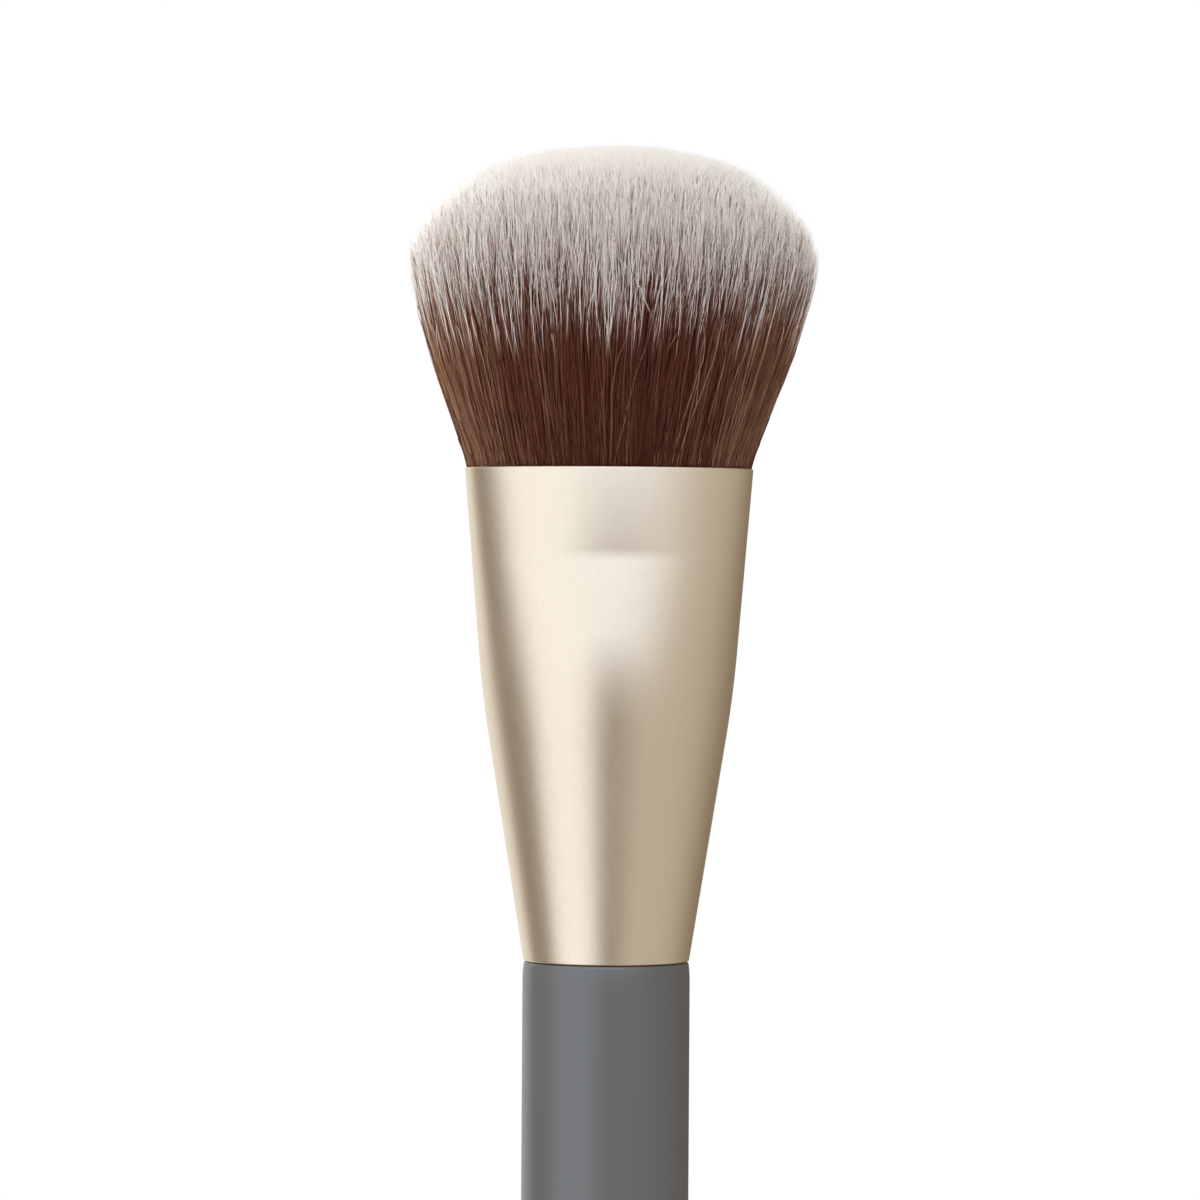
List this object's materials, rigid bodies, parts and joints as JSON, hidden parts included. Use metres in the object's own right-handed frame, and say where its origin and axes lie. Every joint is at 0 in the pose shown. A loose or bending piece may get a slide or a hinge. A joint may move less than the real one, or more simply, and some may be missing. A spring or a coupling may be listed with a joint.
{
  "type": "blending brush",
  "caption": "Face brush with a straight round handle, a tapered metal ferrule pressed to an oval mouth, and a dense domed head of two-tone bristles.",
  "frame": {"origin": "middle of the handle's flat free end, on the brush's axis", "axes": "+Z along the brush from the handle's end to the bristles, X across the wide side of the oval head, Y through its thickness; the picture looks along +Y"},
  "size_m": [0.0288, 0.021, 0.1604],
  "materials": {
    "handle_lacquer": "turned wood under an even matt grey lacquer",
    "ferrule_metal": "satin champagne anodising",
    "bristle_filament": "fine synthetic filament, reddish brown below and off-white at the tips",
    "thread": "waxed cotton thread",
    "resin": "clear amber casting resin",
    "glue": "pale set adhesive"
  },
  "bodies": {
    "root": {"handle": "handle_lacquer", "ferrule": "ferrule_metal", "bristles": "bristle_filament", "binding_thread": "thread", "root_plug": "resin", "tenon_glue": "glue"}
  },
  "joints": []
}
